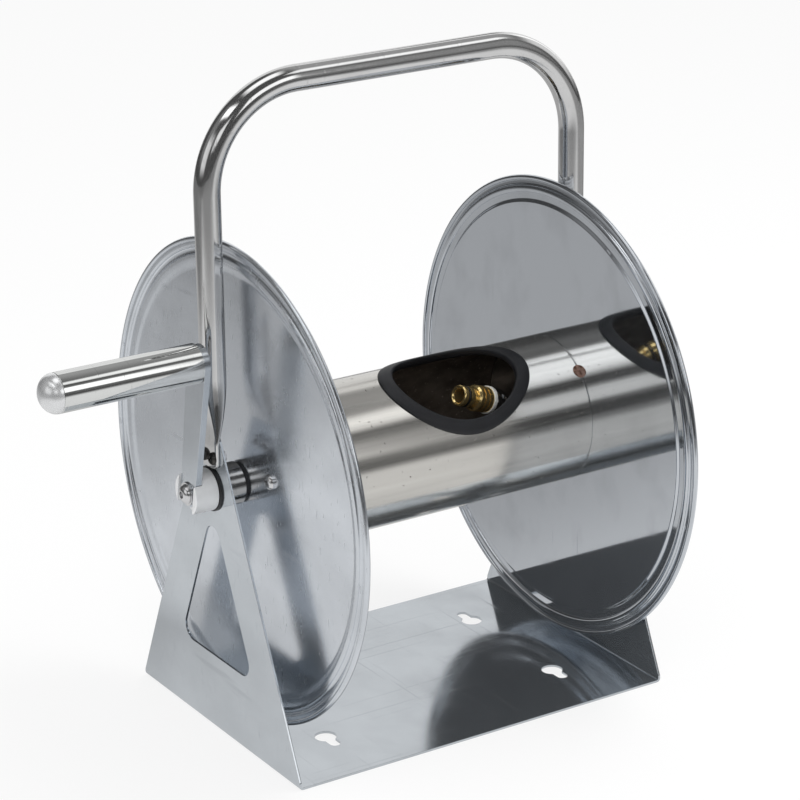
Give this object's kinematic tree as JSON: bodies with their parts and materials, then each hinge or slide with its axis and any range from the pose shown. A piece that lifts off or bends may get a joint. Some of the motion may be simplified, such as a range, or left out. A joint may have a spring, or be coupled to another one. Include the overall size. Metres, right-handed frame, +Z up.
{
  "type": "hose reel",
  "caption": "Hand-cranked steel hose reel: flanged drum with a water outlet inside, on a folded sheet stand with an arched carry handle.",
  "frame": {"origin": "centre of the underside of the stand's base", "axes": "+X along the drum's axis from the crank side to the inlet side, +Y to the back, +Z up"},
  "size_m": [0.4307, 0.3, 0.4108],
  "materials": {
    "stand_sheet": "bright rolled stainless sheet",
    "handle_tube": "polished stainless tube",
    "drum_sheet": "brushed along the drum",
    "flange_sheet": "bright pressed stainless sheet, lightly scuffed",
    "arm_sheet": "cut stainless bar",
    "turned_steel": "turned stainless",
    "zinc_steel": "plated fasteners",
    "dark_screw": "blackened steel",
    "hub_aluminium": "satin turned aluminium",
    "grip_tube": "polished tube",
    "grip_dome": "satin turned aluminium",
    "brass": "turned brass",
    "edging_rubber": "matt black rubber",
    "black_rubber": "nitrile seals",
    "black_acetal": "black bearing plastic",
    "white_acetal": "white bearing plastic",
    "white_seal": "white sealing ring",
    "weld": "heat-tinted weld"
  },
  "bodies": {
    "stand": {"stand": "stand_sheet", "carry_handle": "handle_tube", "handle_screws": "dark_screw", "handle_nuts": "zinc_steel", "left_bearing_housing": "turned_steel", "left_bearing_bush": "black_acetal", "swivel_body": "brass", "swivel_locknut": "brass", "swivel_washer": "zinc_steel", "swivel_seals": "black_rubber", "inlet_nipple": "brass", "inlet_thread_seal": "white_seal", "inlet_o_ring": "black_rubber"},
    "reel": {"left_thrust_washer": "black_acetal", "right_thrust_washer": "black_acetal", "drum_tube": "drum_sheet", "left_flange": "flange_sheet", "right_flange": "flange_sheet", "left_end_plate": "turned_steel", "right_end_plate": "turned_steel", "flange_screws": "zinc_steel", "weld_spots": "weld", "opening_edging": "edging_rubber", "crank_shaft": "turned_steel", "water_shaft": "turned_steel", "outlet_elbow": "turned_steel", "outlet_thread_seal": "white_seal", "outlet_nipple": "brass", "outlet_o_ring": "black_rubber", "crank_hub": "hub_aluminium", "hub_set_screw": "dark_screw", "crank_arm": "arm_sheet", "crank_bolt": "zinc_steel", "crank_washer": "zinc_steel", "grip_spindle": "turned_steel", "spindle_clip": "dark_screw"},
    "grip": {"grip_sleeve": "grip_tube", "grip_end_cap": "grip_dome", "grip_bushes": "white_acetal"}
  },
  "joints": [
    {"name": "reel_spin", "type": "hinge", "parent": "stand", "child": "reel", "pos_m": [0, 0, 0.1608], "axis": [1, 0, 0], "continuous": true},
    {"name": "grip_spin", "type": "hinge", "parent": "reel", "child": "grip", "pos_m": [-0.195, -0.01598, 0.24785], "axis": [1, 0, 0], "continuous": true}
  ]
}
